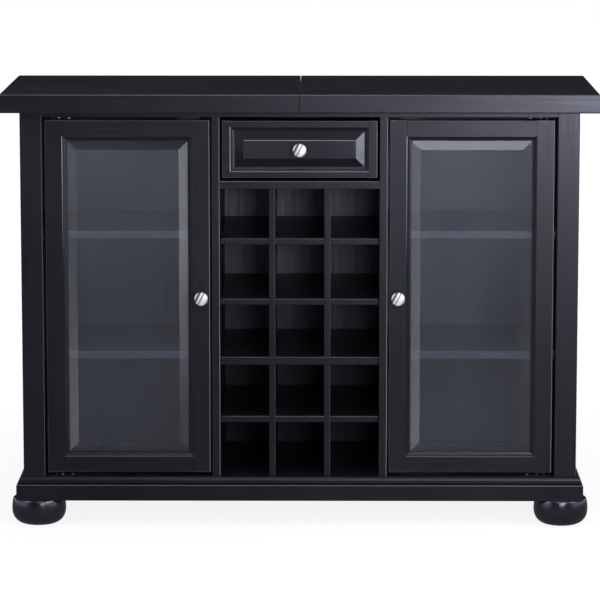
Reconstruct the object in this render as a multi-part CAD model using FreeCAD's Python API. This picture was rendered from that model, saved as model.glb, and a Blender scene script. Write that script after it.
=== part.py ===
import FreeCAD, Part
import math
import os

# Bar cabinet with two glazed doors, a drawer, a bottle rack and a top made of two sliding leaves.
# Millimetres, +X to the right, +Y to the back, +Z up, origin on the floor under the middle.

V = FreeCAD.Vector
RIGHT = V(1, 0, 0)
BACK = V(0, 1, 0)
UP = V(0, 0, 1)
DOWN = V(0, 0, -1)
FORWARD = V(0, -1, 0)

# Whole cabinet
top_width = 1219.0
top_depth = 457.0
total_height = 897.0
side_overhang = 39.0
front_overhang = 30.0
back_overhang = 30.0
cut_overrun = 3.0
full_turn = 360
round_middle_share = 1 - math.sqrt(1 / 2)

# Boards of the case
board = 16.0
arris = 1.2
glue_gap = 0.15

# Sliding top
top_thickness = 38.0
deck_thickness = 19.0
skirt_width = 20.0
top_arris = 2.5
seam_gap = 1.0
seam_arris = 0.8
leaf_travel = 300.0

# Ball-bearing slides, used flat under the top and upright beside the drawer
slide_height = 13.0
slide_width = 45.0
slide_sheet = 1.2
slide_race_play = 0.8
slide_lip = 1.5
slide_flange_short = 2.6
slide_stop_short = 2.6
cage_sheet = 0.6
cage_drop = 5.0
ball_play = 1.2
ball_lip_gap = 0.1
ball_window_clearance = 0.2
cage_end_margin = 5.0
balls_per_row = 5
leaf_slide_start = 20.0
leaf_slide_end_gap = 12.5
leaf_slide_edge = 4.0

# Base
foot_height = 55.0
foot_diameter = 112.0
foot_pad_diameter = 50.0
foot_top_diameter = 104.0
foot_widest_share = 0.58
foot_inset = 43.5
foot_roundness_share = 0.6
foot_shoulder_share = 0.35
plinth_height = 33.0
plinth_board = 18.0
plinth_side_step = 14.7
plinth_front_step = 15.0
plinth_arris = 2.5
block_size = 90.0
nose_step_side = 9.5
nose_step_front = 8.0
nose_round_top = 9.0
nose_round_bottom = 3.0

# Posts and sides
post_width = 44.5
post_depth = 22.0
post_arris = 1.5
side_rail_setback = 2.0
side_rail_top_height = 50.0
side_rail_bottom_height = 60.0
side_panel_thickness = 10.0
tongue_thickness = 5.0
tongue_length = 7.0
tongue_setback = 2.5
tongue_end_gap = 0.5

# Back
back_panel_thickness = 5.0
back_panel_lap = 3.5
back_rabbet = 8.0
back_edge_gap = 0.3

# Middle bay
centre_width = 327.0
drawer_bay_height = 131.5
rack_board = 12.5
rack_setback = 12.0
rack_side_gap = 1.8
rack_back_gap = 0.5
rack_columns = 3
rack_shelf_share = 0.4144
upper_board_shares = (0.3466, 0.7037)
lower_board_shares = (0.535,)

# Shelves behind the doors
shelf_shares = (0.3443, 0.6805)
shelf_setback = 32.5
shelf_end_gap = 1.0
shelf_back_gap = 1.5
pin_diameter = 5.0
pin_length = 16.0
pin_hole_depth = 8.0
pin_inset = 40.0
pin_clearance = 0.05
pin_hole_pitch = 32.0
pin_hole_rows = (-1, 0, 1)

# Doors
door_gap_post = 6.7
door_gap_partition = 4.5
door_gap_top = 7.0
door_gap_bottom = 8.4
door_thickness = 20.0
front_setback = 1.0
stile_width = 44.0
rail_width = 42.0
moulding_width = 9.0
moulding_step = 0.9
moulding_depth = 5.6
moulding_hollow_share = 0.95
rabbet_depth = 7.0
rabbet_lap = 7.0
frame_arris = 1.3
joint_chamfer = 0.7
tenon_length = 12.0
tenon_thickness = 7.0
tenon_shoulder = 5.0
glass_thickness = 4.0
glass_edge_gap = 1.0
glass_bevel = 25.0
glass_bevel_drop = 1.8
knob_mid_share = 0.5

# Pivot hinges and door catches
pivot_inset = 16.0
pivot_plate_in = 40.0
pivot_plate_out = 12.0
pivot_plate_width = 14.0
pivot_plate_thickness = 2.0
pivot_pin_diameter = 6.0
pivot_pin_reach = 9.0
pivot_bore_clearance = 0.1
bush_diameter = 9.0
bush_flange_diameter = 12.0
bush_end_room = 1.0
bush_seat_gap = 0.3
catch_inset = 44.0
catch_width = 46.0
catch_depth = 18.0
catch_height = 22.0
magnet_width = 30.0
magnet_depth = 6.0
magnet_height = 9.0
magnet_edge = 3.0
strike_width = 36.0
strike_height = 12.0
strike_thickness = 1.2
strike_air_gap = 0.4

# Drawer
drawer_gap_side = 5.0
drawer_gap_top = 8.0
drawer_gap_bottom = 6.8
drawer_front_thickness = 18.0
drawer_stile_width = 26.0
drawer_rail_width = 22.0
panel_bevel = 17.5
panel_field_step = 1.8
panel_field_setback = 1.0
panel_edge_depth = 6.6
panel_arris = 0.45
panel_edge_gap = 0.5
drawer_side_thickness = 12.0
drawer_side_height = 85.0
drawer_lift = 16.0
drawer_back_gap = 39.5
drawer_bottom_thickness = 4.0
drawer_bottom_lift = 8.0
drawer_groove = 6.0
drawer_slide_setback = 1.5
drawer_slide_end_gap = 18.5
drawer_slide_overlap = 80.0

# Knobs
knob_diameter = 27.5
knob_base_diameter = 15.0
knob_base_height = 2.5
knob_neck_diameter = 10.0
knob_head_height = 8.0
knob_height = 24.0
knob_rim = 2.2
knob_crown = 1.0

# Screws, bolts and dowels
screw_diameter = 4.0
screw_head_diameter = 8.0
screw_head_height = 3.0
screw_length = 45.0
small_screw_diameter = 3.0
small_screw_head_diameter = 6.0
small_screw_head_height = 1.6
small_screw_length = 14.0
bolt_diameter = 8.0
bolt_length = 60.0
dowel_diameter = 8.0
dowel_length = 24.0
knob_screw_diameter = 4.0
knob_screw_head_diameter = 8.0
knob_screw_head_height = 2.4
knob_screw_grip = 10.0
hole_clearance = 0.1
fixing_inset = 60.0
plate_screw_first = 12.5
plate_screw_pitch = 21.0
back_screw_shares = (0.06, 0.35, 0.65, 0.94)

# Heights worked out from the sizes above
base_top = foot_height + plinth_height
floor_top = base_top + board
deck_bottom = total_height - deck_thickness
skirt_bottom = total_height - top_thickness
counter_top = deck_bottom - slide_height
counter_bottom = counter_top - board
drawer_shelf_top = counter_bottom - drawer_bay_height
drawer_shelf_bottom = drawer_shelf_top - board
rack_shelf_top = floor_top + rack_shelf_share * (drawer_shelf_bottom - floor_top)
rack_shelf_bottom = rack_shelf_top - board

# Places across the width, for the right-hand half
leaf_outer = top_width / 2
case_half = leaf_outer - side_overhang
post_inner = case_half - post_width
side_outer = case_half - side_rail_setback
side_inner = side_outer - board
bay_inner = centre_width / 2
bay_outer = bay_inner + board

# Places along the depth
leaf_back = top_depth / 2
leaf_front = -leaf_back
front_y = leaf_front + front_overhang
back_y = leaf_back - back_overhang
post_back_of_front = front_y + post_depth
post_front_of_back = back_y - post_depth
back_panel_recess = post_depth - back_panel_lap
back_panel_y = back_y - back_panel_recess
face_y = front_y + front_setback

# Plinth and floor of the case
plinth_x = case_half + plinth_side_step
plinth_front = front_y - plinth_front_step
foot_x = plinth_x - foot_inset
foot_front_y = plinth_front + foot_inset
foot_back_y = back_y - foot_inset
nose_x = case_half + nose_step_side
nose_y = front_y - nose_step_front

# Doors and their pivots
door_x0 = bay_outer + door_gap_partition
door_x1 = post_inner - door_gap_post
door_z0 = floor_top + door_gap_bottom
door_z1 = counter_bottom - door_gap_top
door_back = face_y + door_thickness
pivot_x = door_x1 - pivot_inset
pivot_y = face_y + door_thickness / 2
bush_depth = pivot_pin_reach + bush_end_room
stile_flat = stile_width - moulding_width
catch_x = door_x0 + catch_inset

# Drawer
drawer_x = bay_inner - drawer_gap_side
drawer_z0 = drawer_shelf_top + drawer_gap_bottom
drawer_z1 = counter_bottom - drawer_gap_top
drawer_back_of_front = face_y + drawer_front_thickness
drawer_box_x = bay_inner - slide_height
drawer_box_z0 = drawer_shelf_top + drawer_lift
drawer_box_z1 = drawer_box_z0 + drawer_side_height
drawer_box_length = back_panel_y - drawer_back_gap - drawer_back_of_front
drawer_box_back = drawer_back_of_front + drawer_box_length
drawer_slide_y = drawer_back_of_front + drawer_slide_setback
drawer_slide_length = drawer_box_length - drawer_slide_setback - drawer_slide_end_gap
drawer_travel = drawer_slide_length - drawer_slide_overlap
drawer_slide_z = (drawer_box_z0 + drawer_box_z1) / 2
drawer_mid_z = (drawer_z0 + drawer_z1) / 2

# Slides under the top
leaf_slide_y = post_front_of_back - leaf_slide_edge - slide_width / 2
leaf_slide_length = side_inner - leaf_slide_end_gap - leaf_slide_start

# Ball cages of all the slides
cage_floor = slide_sheet + (slide_flange_short - slide_sheet - cage_sheet) / 2
cage_side = slide_height - cage_drop
ball_floor = slide_flange_short + slide_sheet
ball_diameter = slide_height - slide_stop_short - slide_sheet - ball_floor - ball_play
ball_level = ball_floor + ball_lip_gap + ball_diameter / 2
slide_race = ball_diameter + slide_race_play


def box(x0, x1, y0, y1, z0, z1):
    """A block between six faces."""
    return Part.makeBox(x1 - x0, y1 - y0, z1 - z0, V(x0, y0, z0))


def rod(foot, direction, diameter, length):
    """A round rod from a point along a direction."""
    return Part.makeCylinder(diameter / 2, length, foot, direction)


def mirrored(shape):
    """The same shape on the other side of the middle plane."""
    return shape.mirror(V(0, 0, 0), RIGHT)


def along(edge, axis):
    """Whether an edge runs along the axis with the given name."""
    start, end = edge.Vertexes[0].Point, edge.Vertexes[-1].Point
    others = [name for name in "xyz" if name != axis]
    return all(abs(getattr(start, name) - getattr(end, name)) < glue_gap for name in others)


def edges_at(shape, **places):
    """The edges that lie wholly at the given x, y or z."""
    found = []
    for edge in shape.Edges:
        ends = [vertex.Point for vertex in edge.Vertexes]
        if all(abs(getattr(p, name) - at) < glue_gap for p in ends for name, at in places.items()):
            found.append(edge)
    return found


def eased(shape, radius, axis=None):
    """A block with its edges rounded, or only those along one axis."""
    wanted = [edge for edge in shape.Edges if axis is None or along(edge, axis)]
    return shape.makeFillet(radius, wanted)


def eased_at(shape, radius, **places):
    """A block with the edges at the given places rounded."""
    return shape.makeFillet(radius, edges_at(shape, **places))


def outline(points):
    """A flat face through points; a pair is an arc's middle and end, and a list is a curve's poles."""
    edges = []
    here = points[0]
    for step in points[1:]:
        if isinstance(step, tuple):
            edges.append(Part.Arc(here, step[0], step[1]).toShape())
            here = step[1]
        elif isinstance(step, list):
            curve = Part.BezierCurve()
            curve.setPoles([here] + step)
            edges.append(curve.toShape())
            here = step[-1]
        else:
            edges.append(Part.LineSegment(here, step).toShape())
            here = step
    if not here.isEqual(points[0], glue_gap):
        edges.append(Part.LineSegment(here, points[0]).toShape())
    return Part.Face(Part.Wire(edges))


def turned(points):
    """A solid turned about the z axis from an outline in the xz plane."""
    return outline(points).revolve(V(0, 0, 0), UP, full_turn)


def placed(shape, origin, across, depth, run):
    """A copy moved so that its x, y and z follow the three given directions."""
    moved = shape.copy()
    moved.Placement = FreeCAD.Placement(origin, FreeCAD.Rotation(across, depth, run, "XYZ"))
    return moved


def group(solids):
    """Several loose solids kept together."""
    return Part.makeCompound(solids)


def mitre_prism(start, end, inward, reach, z0, z1):
    """The space of a board between two outer corners, with its ends cut at 45 degrees."""
    run = end.sub(start).normalize()
    outside = cut_overrun
    inside = reach + cut_overrun
    corners = [
        start - run * outside - inward * outside,
        end + run * outside - inward * outside,
        end - run * inside + inward * inside,
        start + run * inside + inward * inside,
    ]
    low = [V(p.x, p.y, z0 - cut_overrun) for p in corners]
    return outline(low).extrude(UP * (z1 - z0 + 2 * cut_overrun))


def nosed(x0, x1, y0, y1, z0, z1, rounds):
    """A panel with rounded edges that meet in mitres; rounds pairs an edge's places with a radius."""
    lengthwise = box(x0 - cut_overrun, x1 + cut_overrun, y0, y1, z0, z1)
    crosswise = box(x0, x1, y0 - cut_overrun, y1 + cut_overrun, z0, z1)
    for places, radius in rounds:
        if "y" in places:
            lengthwise = eased_at(lengthwise, radius, **places)
        else:
            crosswise = eased_at(crosswise, radius, **places)
    return lengthwise.common(crosswise)


def countersunk(foot, direction, diameter, head_diameter, head_height, length):
    """A screw whose head sinks into the surface that holds its foot."""
    head = Part.makeCone(head_diameter / 2, diameter / 2, head_height, foot, direction)
    shank = rod(foot + direction * head_height, direction, diameter, length - head_height)
    return head.fuse(shank).removeSplitter()


def panhead(foot, direction, diameter, head_diameter, head_height, length):
    """A screw whose head stands on the surface that holds its foot."""
    head = rod(foot - direction * head_height, direction, head_diameter, head_height)
    return head.fuse(rod(foot, direction, diameter, length)).removeSplitter()


# Slides

def slide_track(length):
    """The fixed channel of a slide, with its web on the xy plane and its run along z."""
    half = slide_width / 2
    top = slide_height - slide_stop_short
    inner = half - slide_sheet
    lip = inner - slide_lip
    side = [(half, 0), (half, top), (lip, top), (lip, top - slide_sheet)]
    side += [(inner, top - slide_sheet), (inner, slide_sheet)]
    points = [V(x, y, 0) for x, y in side] + [V(-x, y, 0) for x, y in reversed(side)]
    return outline(points).extrude(UP * length)


def runner_half_width():
    """Half the width of the moving member between the two ball races."""
    return slide_width / 2 - slide_sheet - slide_race


def slide_runner(length):
    """The moving channel of a slide, turned towards the track."""
    half = runner_half_width()
    low = slide_flange_short
    lip = half + slide_lip
    web = slide_height - slide_sheet
    side = [(half, slide_height), (half, low + slide_sheet), (lip, low + slide_sheet), (lip, low)]
    side += [(half - slide_sheet, low), (half - slide_sheet, web)]
    points = [V(x, y, 0) for x, y in side] + [V(-x, y, 0) for x, y in reversed(side)]
    return outline(points).extrude(UP * length)


def slide_cage(length):
    """The strip that carries the balls, and its balls, as loose solids."""
    middle = slide_width / 2 - slide_sheet - slide_race / 2
    outer = middle + cage_sheet / 2
    inner = middle - cage_sheet / 2
    top = cage_floor + cage_sheet
    side = [(outer, cage_floor), (outer, cage_side), (inner, cage_side), (inner, top)]
    points = [V(x, y, 0) for x, y in side] + [V(-x, y, 0) for x, y in reversed(side)]
    strip = outline(points).extrude(UP * length)
    balls = []
    for number in range(balls_per_row):
        run = length * (number + 1) / (balls_per_row + 1)
        for hand in (-1, 1):
            centre = V(hand * middle, ball_level, run)
            window = rod(V(hand * middle - slide_race / 2, ball_level, run), RIGHT,
                         ball_diameter + 2 * ball_window_clearance, slide_race)
            strip = strip.cut(window)
            balls.append(Part.makeSphere(ball_diameter / 2, centre))
    return [strip] + balls


def cage_length(slide_length, travel):
    """The longest cage that stays inside both members over the travel."""
    return slide_length - travel - 2 * cage_end_margin


def leaf_slide_parts(make, start):
    """One member of the two slides under the right-hand leaf."""
    solids = []
    for y in (-leaf_slide_y, leaf_slide_y):
        for solid in make:
            solids.append(placed(solid, V(start, y, counter_top), BACK, UP, RIGHT))
    return solids


def drawer_slide_parts(make, start):
    """One member of the two slides beside the drawer."""
    solids = []
    for solid in make:
        right = placed(solid, V(bay_inner, start, drawer_slide_z), DOWN, -RIGHT, BACK)
        solids += [right, mirrored(right)]
    return solids


# Base

def foot(x, y):
    """A bun foot, bored from above for its bolt."""
    pad = foot_pad_diameter / 2
    widest = foot_diameter / 2
    crown = foot_top_diameter / 2
    level = foot_height * foot_widest_share
    under = [V(pad + (widest - pad) * foot_roundness_share, 0, 0),
             V(widest, 0, level * (1 - foot_roundness_share)), V(widest, 0, level)]
    above = [V(widest, 0, level + (foot_height - level) * foot_roundness_share),
             V(crown + (widest - crown) * foot_shoulder_share, 0, foot_height), V(crown, 0, foot_height)]
    points = [V(0, 0, 0), V(pad, 0, 0), under, above, V(0, 0, foot_height)]
    body = turned(points)
    bore = rod(V(0, 0, foot_height), DOWN, bolt_diameter + 2 * hole_clearance, bolt_length / 2)
    body = body.cut(bore)
    body.translate(V(x, y, 0))
    return body


def foot_places():
    """The names and centres of the four feet."""
    places = {}
    for row, y in (("front", foot_front_y), ("back", foot_back_y)):
        places["foot_" + row + "_left"] = (-foot_x, y)
        places["foot_" + row + "_right"] = (foot_x, y)
    return places


def corner_block(x, y):
    """The block that a foot's bolt screws into, behind the plinth's corner."""
    x1 = plinth_x - plinth_board
    y0 = plinth_front + plinth_board
    if y > 0:
        y0 = back_y - plinth_board - block_size
    block = box(x1 - block_size, x1, y0, y0 + block_size, foot_height, base_top)
    if x < 0:
        block = mirrored(block)
    return block.cut(rod(V(x, y, foot_height - cut_overrun), UP, bolt_diameter + 2 * hole_clearance,
                         plinth_height + 2 * cut_overrun))


def foot_bolt(x, y):
    """The bolt between a foot and its block."""
    return rod(V(x, y, foot_height - bolt_length / 2), UP, bolt_diameter, bolt_length / 2 + plinth_height)


def plinth_boards():
    """The front board and the two side boards, mitred, and the back board between the sides."""
    rounds = [({"y": plinth_front, "z": base_top}, plinth_arris),
              ({"x": -plinth_x, "z": base_top}, plinth_arris),
              ({"x": plinth_x, "z": base_top}, plinth_arris)]
    solid = nosed(-plinth_x, plinth_x, plinth_front, back_y, foot_height, base_top, rounds)
    hollow = box(plinth_board - plinth_x, plinth_x - plinth_board, plinth_front + plinth_board,
                 back_y + cut_overrun, foot_height - cut_overrun, base_top + cut_overrun)
    ring = solid.cut(hollow)
    wedge = mitre_prism(V(-plinth_x, plinth_front, 0), V(plinth_x, plinth_front, 0), BACK,
                        plinth_board, foot_height, base_top)
    front = ring.common(wedge)
    right = ring.cut(wedge).common(box(0, plinth_x, plinth_front, back_y, foot_height, base_top))
    back = box(plinth_board - plinth_x, plinth_x - plinth_board, back_y - plinth_board, back_y,
               foot_height, base_top)
    return front, right, back


def base_screw_places():
    """Where screws go up through the floor into the posts, partitions and side rails."""
    post_y = (front_y + post_back_of_front) / 2
    rear_y = (back_y + post_front_of_back) / 2
    post_x = (post_inner + case_half) / 2
    partition_x = (bay_inner + bay_outer) / 2
    rail_x = (side_inner + side_outer) / 2
    near = post_back_of_front + fixing_inset
    far = post_front_of_back - fixing_inset
    right = [(post_x, post_y), (post_x, rear_y), (partition_x, near), (partition_x, far),
             (rail_x, near), (rail_x, far)]
    return right + [(-x, y) for x, y in right]


def base_screws():
    """The countersunk screws through the floor of the case."""
    return [countersunk(V(x, y, base_top), UP, screw_diameter, screw_head_diameter,
                        screw_head_height, screw_length) for x, y in base_screw_places()]


def base_screw_holes():
    """The same screws with room around them."""
    return [countersunk(V(x, y, base_top), UP, screw_diameter + 2 * hole_clearance,
                        screw_head_diameter + 2 * hole_clearance, screw_head_height,
                        screw_length + hole_clearance) for x, y in base_screw_places()]


def bottom_panel():
    """The floor of the case, with a rounded nose at the front and both sides."""
    rounds = [({"y": nose_y, "z": floor_top}, nose_round_top),
              ({"y": nose_y, "z": base_top}, nose_round_bottom)]
    for x in (-nose_x, nose_x):
        rounds += [({"x": x, "z": floor_top}, nose_round_top), ({"x": x, "z": base_top}, nose_round_bottom)]
    panel = nosed(-nose_x, nose_x, nose_y, back_y, base_top, floor_top, rounds)
    return panel.cut(group(base_screw_holes() + plate_screw_holes()))


# Posts and sides

def tongue_space(y0, y1, z0, z1):
    """The slot that the side panel's tongue enters, on the right-hand side."""
    x0 = side_inner + tongue_setback
    return box(x0 - glue_gap, x0 + tongue_thickness + glue_gap, y0, y1, z0, z1)


def post(front):
    """A right-hand post, grooved for the side panel and rabbeted for the back."""
    y0 = front_y if front else post_front_of_back
    body = box(post_inner, case_half, y0, y0 + post_depth, floor_top, counter_top)
    body = eased(body, post_arris, "z")
    groove = tongue_length + tongue_end_gap
    meeting = y0 + post_depth - groove if front else y0 - cut_overrun
    body = body.cut(tongue_space(meeting, meeting + groove + cut_overrun, floor_top - cut_overrun,
                                 counter_top + cut_overrun))
    if not front:
        body = body.cut(box(post_inner - cut_overrun, post_inner + back_rabbet, back_panel_y,
                            back_y + cut_overrun, floor_top - cut_overrun, counter_top + cut_overrun))
    return body.cut(group(base_screw_holes() + back_screw_holes()))


def side_rails():
    """The upper and lower rails between the right-hand posts."""
    levels = [(floor_top, floor_top + side_rail_bottom_height),
              (counter_top - side_rail_top_height, counter_top)]
    rails = []
    groove = tongue_length + tongue_end_gap
    for z0, z1 in levels:
        rail = box(side_inner, side_outer, post_back_of_front, post_front_of_back, z0, z1)
        rail = eased(rail, arris, "y")
        low = z1 - groove if z0 == floor_top else z0 - cut_overrun
        rail = rail.cut(tongue_space(post_back_of_front - cut_overrun, post_front_of_back + cut_overrun,
                                     low, low + groove + cut_overrun))
        rails.append(rail.cut(group(base_screw_holes())))
    return rails


def side_panel():
    """The right-hand side panel with its tongue all round."""
    z0 = floor_top + side_rail_bottom_height
    z1 = counter_top - side_rail_top_height
    field = box(side_inner, side_inner + side_panel_thickness, post_back_of_front, post_front_of_back, z0, z1)
    x0 = side_inner + tongue_setback
    tongue = box(x0, x0 + tongue_thickness, post_back_of_front - tongue_length,
                 post_front_of_back + tongue_length, z0 - tongue_length, z1 + tongue_length)
    return field.fuse(tongue).removeSplitter().cut(group(pin_holes()))


def top_rail(front):
    """The rail between two posts under the sliding top."""
    y0 = front_y if front else post_front_of_back
    rail = box(-post_inner, post_inner, y0, y0 + post_depth, counter_bottom, counter_top)
    return rail.cut(group(plate_screw_holes())) if front else rail


def sub_top():
    """The fixed serving surface under the sliding leaves."""
    panel = box(-side_inner, side_inner, post_back_of_front, post_front_of_back, counter_bottom, counter_top)
    return panel.cut(group(dowel_holes() + catch_screw_holes()))


def dowel_places():
    """Where dowels join the partitions to the serving surface."""
    x = (bay_inner + bay_outer) / 2
    near = post_back_of_front + fixing_inset
    far = post_front_of_back - fixing_inset
    return [(hand * x, y) for hand in (-1, 1) for y in (near, far)]


def dowels():
    """The dowels in the partitions' top ends."""
    return [rod(V(x, y, counter_bottom - dowel_length / 2), UP, dowel_diameter, dowel_length)
            for x, y in dowel_places()]


def dowel_holes():
    """Blind holes for the dowels."""
    return [rod(V(x, y, counter_bottom - dowel_length / 2 - hole_clearance), UP,
                dowel_diameter + 2 * hole_clearance, dowel_length + 2 * hole_clearance)
            for x, y in dowel_places()]


def partition():
    """The right-hand upright board between the middle bay and the door bay."""
    body = box(bay_inner, bay_outer, front_y, back_panel_y, floor_top, counter_bottom)
    body = eased_at(body, arris, x=bay_inner, y=front_y)
    body = eased_at(body, arris, x=bay_outer, y=front_y)
    return body.cut(group(base_screw_holes() + back_screw_holes() + dowel_holes() + pin_holes()))


def back_panel():
    """The thin back, screwed to the back posts and the partitions."""
    x = post_inner + back_rabbet - back_edge_gap
    panel = box(-x, x, back_panel_y, back_panel_y + back_panel_thickness, floor_top, counter_bottom)
    return panel.cut(group(back_screw_holes()))


def back_screw_places():
    """Where the back is screwed to the boards in front of it."""
    columns = [(bay_inner + bay_outer) / 2, post_inner + back_rabbet / 2]
    levels = [floor_top + share * (counter_bottom - floor_top) for share in back_screw_shares]
    return [(hand * x, z) for x in columns for z in levels for hand in (-1, 1)]


def back_screws():
    """The small screws that hold the back."""
    y = back_panel_y + back_panel_thickness
    return [panhead(V(x, y, z), FORWARD, small_screw_diameter, small_screw_head_diameter,
                    small_screw_head_height, small_screw_length) for x, z in back_screw_places()]


def back_screw_holes():
    """Holes for the screws of the back."""
    y = back_panel_y + back_panel_thickness
    return [rod(V(x, y + hole_clearance, z), FORWARD, small_screw_diameter + 2 * hole_clearance,
                small_screw_length + 2 * hole_clearance) for x, z in back_screw_places()]


# Middle bay

def cross_board(z0, z1, y0):
    """A board across the middle bay with its front edges eased."""
    body = box(-bay_inner, bay_inner, y0, back_panel_y, z0, z1)
    body = eased_at(body, arris, y=y0, z=z0)
    return eased_at(body, arris, y=y0, z=z1)


def upright_places():
    """The middles of the rack's upright boards."""
    pitch = (centre_width + rack_board) / rack_columns
    return [-bay_inner - rack_board / 2 + pitch * number for number in range(1, rack_columns)]


def rack_levels():
    """Each half of the rack: its floor, its ceiling and the tops of its level boards."""
    lower = [floor_top + share * (rack_shelf_bottom - floor_top) for share in lower_board_shares]
    upper = [rack_shelf_top + share * (drawer_shelf_bottom - rack_shelf_top) for share in upper_board_shares]
    return [(floor_top, rack_shelf_bottom, lower), (rack_shelf_top, drawer_shelf_bottom, upper)]


def rack_depths():
    """The front, the middle and the back of the rack's boards."""
    front = front_y + rack_setback
    back = back_panel_y - rack_back_gap
    return front, (front + back) / 2, back


def rack_uprights():
    """The upright boards, slotted from the back for the level boards."""
    front, middle, back = rack_depths()
    boards = []
    for z0, z1, tops in rack_levels():
        for x in upright_places():
            piece = box(x - rack_board / 2, x + rack_board / 2, front, back, z0, z1)
            piece = eased(piece, arris, "z")
            for top in tops:
                piece = piece.cut(box(x - rack_board, x + rack_board, middle, back + cut_overrun,
                                      top - rack_board - glue_gap, top + glue_gap))
            boards.append(piece)
    return boards


def rack_boards():
    """The level boards, slotted from the front for the uprights."""
    front, middle, back = rack_depths()
    x_end = bay_inner - rack_side_gap
    boards = []
    for _, _, tops in rack_levels():
        for top in tops:
            piece = box(-x_end, x_end, front, back, top - rack_board, top)
            piece = eased(piece, arris, "x")
            for x in upright_places():
                half = rack_board / 2 + glue_gap
                piece = piece.cut(box(x - half, x + half, front - cut_overrun, middle,
                                      top - 2 * rack_board, top + rack_board))
            boards.append(piece)
    return boards


# Shelves behind the doors

def shelf_tops():
    """The upper faces of the adjustable shelves."""
    return [floor_top + share * (counter_bottom - floor_top) for share in shelf_shares]


def shelves():
    """The two adjustable shelves of the right-hand bay."""
    boards = []
    y0 = front_y + shelf_setback
    for top in shelf_tops():
        body = box(bay_outer + shelf_end_gap, side_inner - shelf_end_gap, y0,
                   post_front_of_back - shelf_back_gap, top - board, top)
        body = eased_at(body, arris, y=y0, z=top)
        boards.append(eased_at(body, arris, y=y0, z=top - board))
    return boards


def pin_depths():
    """How far back the shelf pins sit."""
    return (front_y + shelf_setback + pin_inset, post_front_of_back - shelf_back_gap - pin_inset)


def shelf_pins():
    """The pins under the right-hand shelves."""
    pins = []
    for top in shelf_tops():
        z = top - board - pin_diameter / 2
        for y in pin_depths():
            pins.append(rod(V(bay_outer - pin_hole_depth, y, z), RIGHT, pin_diameter, pin_length))
            pins.append(rod(V(side_inner + pin_hole_depth, y, z), -RIGHT, pin_diameter, pin_length))
    return pins


def pin_holes():
    """Short rows of pin holes around each shelf, in the partition and the side panel."""
    holes = []
    width = pin_diameter + 2 * pin_clearance
    for top in shelf_tops():
        for row in pin_hole_rows:
            z = top - board - pin_diameter / 2 + row * pin_hole_pitch
            for y in pin_depths():
                holes.append(rod(V(bay_outer - pin_hole_depth, y, z), RIGHT, width, board))
                holes.append(rod(V(side_inner + pin_hole_depth, y, z), -RIGHT, width, board))
    return holes


# Framed fronts

def frame_profile(width, thickness):
    """The section of a stile or rail: eased outer edge, hollow moulding, rabbet at the back."""
    flat = width - moulding_width
    corner = frame_arris
    middle = V((flat + width) / 2, (moulding_step + moulding_depth) / 2, 0)
    chord = V(moulding_width, moulding_depth - moulding_step, 0)
    fullest = chord.Length / 2 * math.tan(math.atan2(chord.y, chord.x) / 2)
    hollow = V(-chord.y, chord.x, 0).normalize() * fullest * moulding_hollow_share
    soft = corner * round_middle_share
    return outline([
        V(0, thickness - corner, 0),
        V(0, corner, 0),
        (V(soft, soft, 0), V(corner, 0, 0)),
        V(flat, 0, 0),
        V(flat, moulding_step, 0),
        (middle + hollow, V(width, moulding_depth, 0)),
        V(width, rabbet_depth, 0),
        V(width - rabbet_lap, rabbet_depth, 0),
        V(width - rabbet_lap, thickness, 0),
        V(corner, thickness, 0),
        (V(soft, thickness - soft, 0), V(0, thickness - corner, 0)),
    ])


def tenon(x0, x1, z0, z1, thickness):
    """The tongue of a rail that passes into both stiles."""
    y0 = face_y + rabbet_depth + (thickness - rabbet_depth - tenon_thickness) / 2
    return box(x0, x1, y0, y0 + tenon_thickness, z0, z1)


def frame(x0, x1, z0, z1, stile, rail, thickness):
    """Two stiles and two rails: the rails are scribed over the stiles' moulding and tenoned in."""
    stile_face = frame_profile(stile, thickness)
    rail_face = frame_profile(rail, thickness)
    flat = stile - moulding_width
    left = placed(stile_face.extrude(UP * (z1 - z0)), V(x0, face_y, z0), RIGHT, BACK, UP)
    right = placed(stile_face.extrude(UP * (z1 - z0)), V(x1, face_y, z1), -RIGHT, BACK, DOWN)
    span = x1 - x0 - 2 * flat
    lower = placed(rail_face.extrude(UP * span), V(x1 - flat, face_y, z0), UP, BACK, -RIGHT)
    upper = placed(rail_face.extrude(UP * span), V(x0 + flat, face_y, z1), DOWN, BACK, RIGHT)
    inner = rail - rabbet_lap
    length = stile - rabbet_lap - tenon_length
    tongues = [tenon(x0 + length, x1 - length, z, z + inner - 2 * tenon_shoulder, thickness)
               for z in (z0 + tenon_shoulder, z1 - inner + tenon_shoulder)]
    stiles = [left.cut(group(tongues)), right.cut(group(tongues))]
    rails = []
    for raw, tongue in zip((lower, upper), tongues):
        for x, turn in ((x0 + flat, 1), (x1 - flat, -1)):
            raw = raw.cut(joint_notch(x, turn, z0, z1))
        rails.append(raw.fuse(tongue).cut(group(stiles)).removeSplitter())
    return stiles, rails


def joint_notch(x, turn, z0, z1):
    """The fine vee that shows where a rail meets a stile."""
    points = [V(x - turn * joint_chamfer, face_y - joint_chamfer, z0 - cut_overrun),
              V(x + turn * joint_chamfer * 2, face_y - joint_chamfer, z0 - cut_overrun),
              V(x - turn * joint_chamfer, face_y + joint_chamfer * 2, z0 - cut_overrun)]
    return outline(points).extrude(UP * (z1 - z0 + 2 * cut_overrun))


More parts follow.
